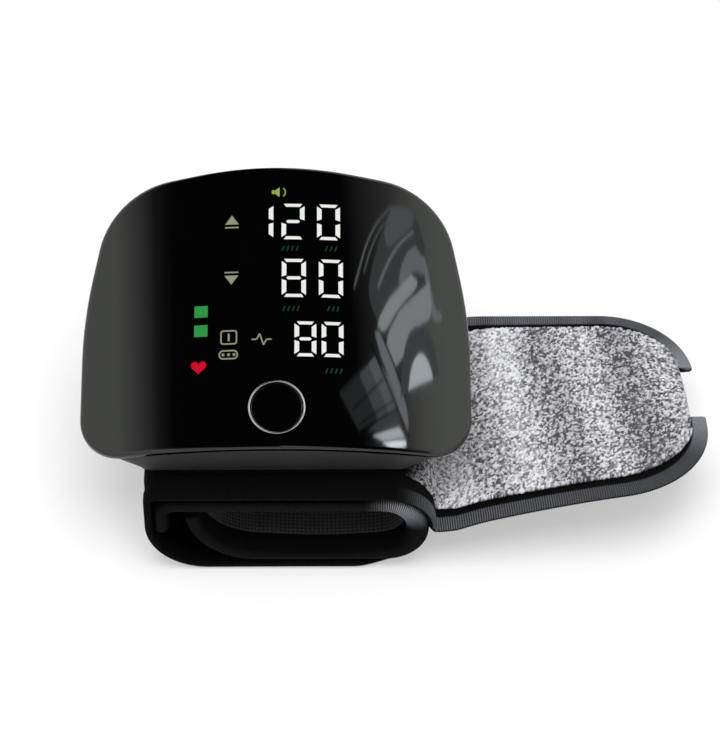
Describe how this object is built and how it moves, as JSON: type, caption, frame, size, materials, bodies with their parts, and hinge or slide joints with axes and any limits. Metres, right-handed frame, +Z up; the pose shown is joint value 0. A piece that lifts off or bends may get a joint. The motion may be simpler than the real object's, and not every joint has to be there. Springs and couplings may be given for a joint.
{
  "type": "wrist_blood_pressure_monitor",
  "caption": "Wrist blood pressure monitor with a glossy domed display case on a curled inflatable cuff, a round start button and a free strap tail",
  "frame": {"origin": "On the table plane, under the middle of the cuff's flat underside, halfway between its front and rear edges", "axes": "X runs along the cuff's curl, with the free tail towards +X. Y runs across the cuff, with the user's side at -Y. Z is up."},
  "size_m": [0.1282, 0.0615, 0.0545],
  "materials": {
    "gloss_black": "polished black, lit from behind by the display",
    "case_grey": "fine moulded texture, dark grey",
    "ring_silver": "satin plated ring",
    "steel": "plain zinc plated steel",
    "chip_black": "moulded black",
    "white_plastic": "plain moulded",
    "board_green": "lacquered circuit board",
    "soft_rubber": "soft matt rubber",
    "cell_foil": "aluminium foil pouch",
    "foam": "adhesive foam",
    "pile_cloth": "brushed loop pile, light grey flecked with black",
    "edge_tape": "ribbed woven edge tape, slate grey",
    "mesh_cloth": "fine knitted mesh, dark grey",
    "sleeve_cloth": "smooth black nylon"
  },
  "bodies": {
    "monitor": {"front_cover": "gloss_black", "rear_case": "case_grey", "button_ring": "ring_silver", "tact_switch": "chip_black", "display_diffuser": "white_plastic", "display_block": "white_plastic", "main_board": "board_green", "board_screw_1": "steel", "board_screw_2": "steel", "board_screw_3": "steel", "processor_chip": "chip_black", "pressure_sensor": "white_plastic", "pump_motor": "steel", "pump_head": "case_grey", "pump_diaphragm": "soft_rubber", "pump_tube": "soft_rubber", "air_manifold": "white_plastic", "valve_body": "chip_black", "sensor_tube": "soft_rubber", "bladder_nipple": "white_plastic", "battery_pad": "foam", "battery_cell": "cell_foil", "usb_socket": "steel", "usb_board": "board_green", "speaker": "chip_black", "battery_lead": "soft_rubber", "valve_lead": "soft_rubber", "charge_lead": "soft_rubber", "speaker_lead": "soft_rubber", "motor_lead": "soft_rubber", "case_screw_1": "steel", "case_screw_2": "steel", "case_screw_3": "steel", "case_screw_4": "steel", "retainer_screw_1": "steel", "retainer_screw_2": "steel", "cuff_retainer": "white_plastic", "outer_strap": "pile_cloth", "curl_cover": "sleeve_cloth", "preform_sheet": "white_plastic", "air_bladder": "soft_rubber", "curl_lining": "mesh_cloth", "strap_binding_front": "edge_tape", "strap_binding_rear": "edge_tape", "curl_binding_front": "edge_tape", "curl_binding_rear": "edge_tape"},
    "button": {"start_button": "gloss_black", "switch_stem": "white_plastic"},
    "rotor": {"pump_rotor": "steel"},
    "plunger": {"valve_plunger": "steel"},
    "tail": {"strap_tail": "pile_cloth", "tail_binding": "edge_tape", "hook_patch": "sleeve_cloth"}
  },
  "joints": [
    {"name": "button_press", "type": "slide", "parent": "monitor", "child": "button", "axis": [0, 0.3665, -0.9304], "range_m": [0, 0.0005], "stiffness_N_per_m": 400},
    {"name": "pump_spin", "type": "hinge", "parent": "monitor", "child": "rotor", "pos_m": [-0.01, 0.01139, 0.0306], "axis": [1, 0, 0], "continuous": true},
    {"name": "valve_slide", "type": "slide", "parent": "monitor", "child": "plunger", "axis": [1, 0, 0], "range_m": [0, 0.0008], "stiffness_N_per_m": 100},
    {"name": "tail_bend", "type": "hinge", "parent": "monitor", "child": "tail", "pos_m": [0.03657, 0, 0.0112], "axis": [0, -1, 0], "range_deg": [-10, 50], "stiffness_Nm_per_rad": 0.05}
  ]
}
